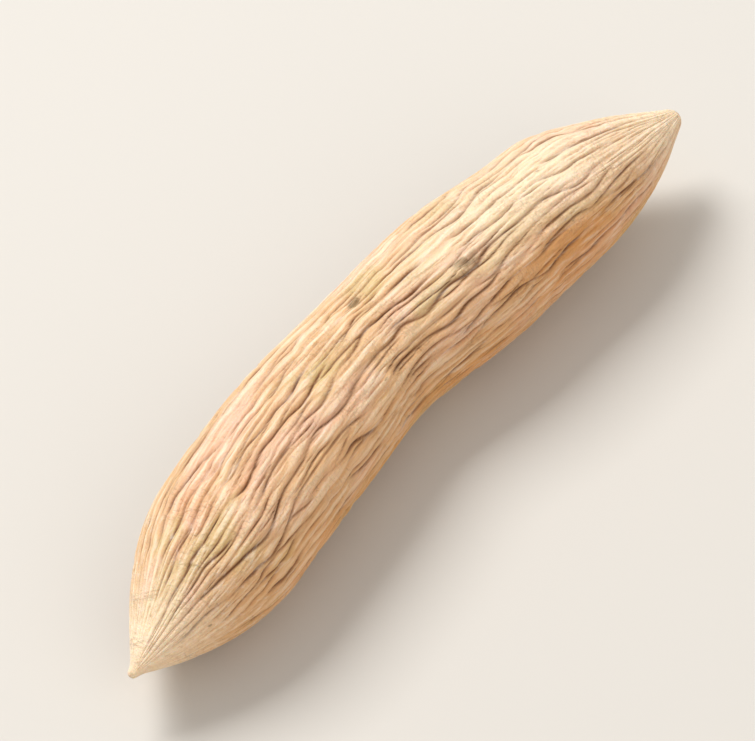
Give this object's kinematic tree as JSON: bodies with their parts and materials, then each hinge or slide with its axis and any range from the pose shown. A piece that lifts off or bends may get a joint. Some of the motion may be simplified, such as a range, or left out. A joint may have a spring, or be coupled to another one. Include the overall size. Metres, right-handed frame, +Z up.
{
  "type": "ophiopogon root",
  "caption": "Dried spindle-shaped root tuber with a gentle bow, fine lengthwise wrinkles and pale pointed ends, lying on its side.",
  "frame": {"origin": "middle of the box's underside, on the surface that the root rests on", "axes": "+X from the pointed end to the blunter end, +Y towards the side that the root bows to, +Z up"},
  "size_m": [0.034, 0.007, 0.0058],
  "materials": {
    "dried_skin": "dry, matt, pale tan skin with lengthwise wrinkles"
  },
  "bodies": {
    "root": {"root_tuber": "dried_skin"}
  },
  "joints": []
}
